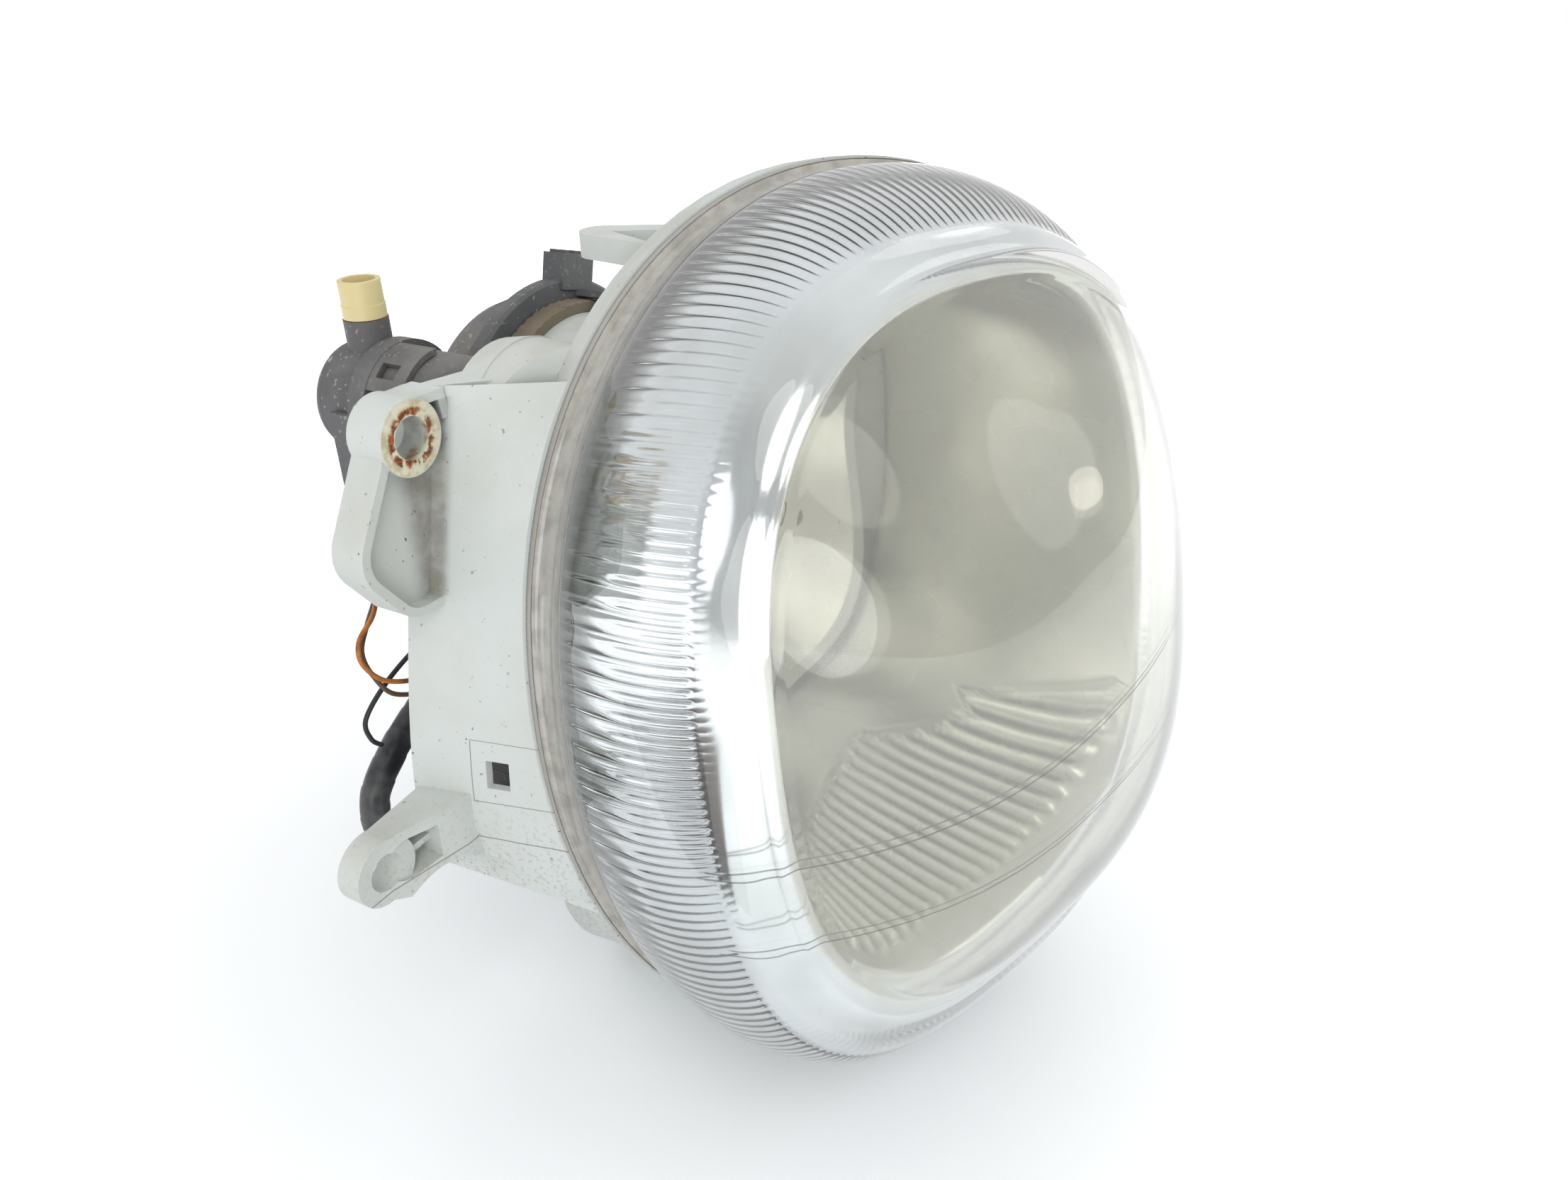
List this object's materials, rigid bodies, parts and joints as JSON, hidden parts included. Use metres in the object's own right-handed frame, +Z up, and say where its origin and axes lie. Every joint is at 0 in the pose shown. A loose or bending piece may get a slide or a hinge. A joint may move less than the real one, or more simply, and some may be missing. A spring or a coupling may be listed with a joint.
{
  "type": "car headlight",
  "caption": "Swept, domed car headlight with fluted clear lens, bright liner, tilting reflector, levelling motor, bayonet rear cover and wiring.",
  "frame": {"origin": "centre of the upper bolt hole at the front face of its boss", "axes": "+Z up, -Y towards the front of the car, +X from the bolt ears towards the lamp; +Y is the axis of the upper bolt hole"},
  "size_m": [0.2469, 0.2511, 0.2748],
  "materials": {
    "housing_plastic": "dull moulded plastic with dust",
    "lens_clear": "clear polycarbonate with fine flutes",
    "seal_compound": "set sealing compound",
    "bezel_silver": "metallised liner",
    "dark_plastic": "dull",
    "seal_brown": "aged, dusty",
    "cover_plastic": "dusty",
    "motor_plastic": "dusty",
    "pale_plastic": "satin",
    "beige_plastic": "aged",
    "steel": "plain",
    "mirror_coat": "metallised",
    "bulb_clear": "clear",
    "black_rubber": "dull",
    "loom_tape": "wound cloth tape",
    "wire_orange_skin": "dull",
    "wire_brown_skin": "dull",
    "wire_black_skin": "dull"
  },
  "bodies": {
    "root": {"housing": "housing_plastic", "lens": "lens_clear", "lens_seal": "seal_compound", "bezel": "bezel_silver", "snap_tab": "dark_plastic", "cover_seal": "seal_brown", "motor_housing": "motor_plastic", "motor_end_cap": "motor_plastic", "motor_clip": "motor_plastic", "motor_plug": "dark_plastic", "pivot_stud": "steel", "vent_cap": "dark_plastic", "grommet": "black_rubber", "harness_connector": "dark_plastic", "loom": "loom_tape", "wire_orange": "wire_orange_skin", "wire_brown": "wire_brown_skin", "wire_black": "wire_black_skin"},
    "cover": {"rear_cover": "cover_plastic"},
    "spindle": {"motor_spindle": "pale_plastic"},
    "shaft": {"adjuster_shaft": "beige_plastic"},
    "yaw": {"pivot_socket": "pale_plastic"},
    "mirror": {"reflector": "mirror_coat", "motor_socket": "pale_plastic", "aim_socket": "pale_plastic", "bulb_base": "steel", "bulb_glass": "bulb_clear", "bulb_connector": "dark_plastic", "parking_holder": "dark_plastic", "parking_bulb": "bulb_clear"},
    "clip": {"bulb_clip": "steel"},
    "aim_rod": {"aim_screw": "steel"},
    "knob": {"aim_knob": "dark_plastic"}
  },
  "joints": [
    {"name": "cover_turn", "type": "hinge", "parent": "root", "child": "cover", "pos_m": [0.11, 0.044, -0.044], "axis": [0, 1, 0], "range_deg": [0, 30]},
    {"name": "yaw_turn", "type": "hinge", "parent": "root", "child": "yaw", "pos_m": [0.048, -0.008, -0.095], "axis": [-0.0712, 0, 0.9975], "range_deg": [-2, 2]},
    {"name": "tilt_turn", "type": "hinge", "parent": "yaw", "child": "mirror", "pos_m": [0.048, -0.008, -0.095], "axis": [1, 0, 0], "range_deg": [-3, 3]},
    {"name": "spindle_slide", "type": "slide", "parent": "root", "child": "spindle", "axis": [0, 1, 0], "range_m": [-0.0045, 0.0045]},
    {"name": "shaft_turn", "type": "hinge", "parent": "root", "child": "shaft", "pos_m": [0.042, 0.0575, 0.014], "axis": [0, 0, 1], "range_deg": [-181, 181]},
    {"name": "aim_slide", "type": "slide", "parent": "root", "child": "aim_rod", "axis": [0, 1, 0], "range_m": [-0.0039, 0.0039]},
    {"name": "knob_turn", "type": "hinge", "parent": "root", "child": "knob", "pos_m": [0.156, 0.007, -0.095], "axis": [0, 1, 0], "range_deg": [-1081, 1081]},
    {"name": "clip_swing", "type": "hinge", "parent": "mirror", "child": "clip", "pos_m": [0.104, 0.0088, -0.0685], "axis": [-1, 0, 0], "range_deg": [0, 24]}
  ],
  "couplings": [
    {"joint": "spindle_slide", "follows": "tilt_turn", "m_per_rad": -0.084},
    {"joint": "shaft_turn", "follows": "tilt_turn", "ratio": 60},
    {"joint": "aim_slide", "follows": "yaw_turn", "m_per_rad": 0.108},
    {"joint": "knob_turn", "follows": "yaw_turn", "ratio": 540}
  ]
}
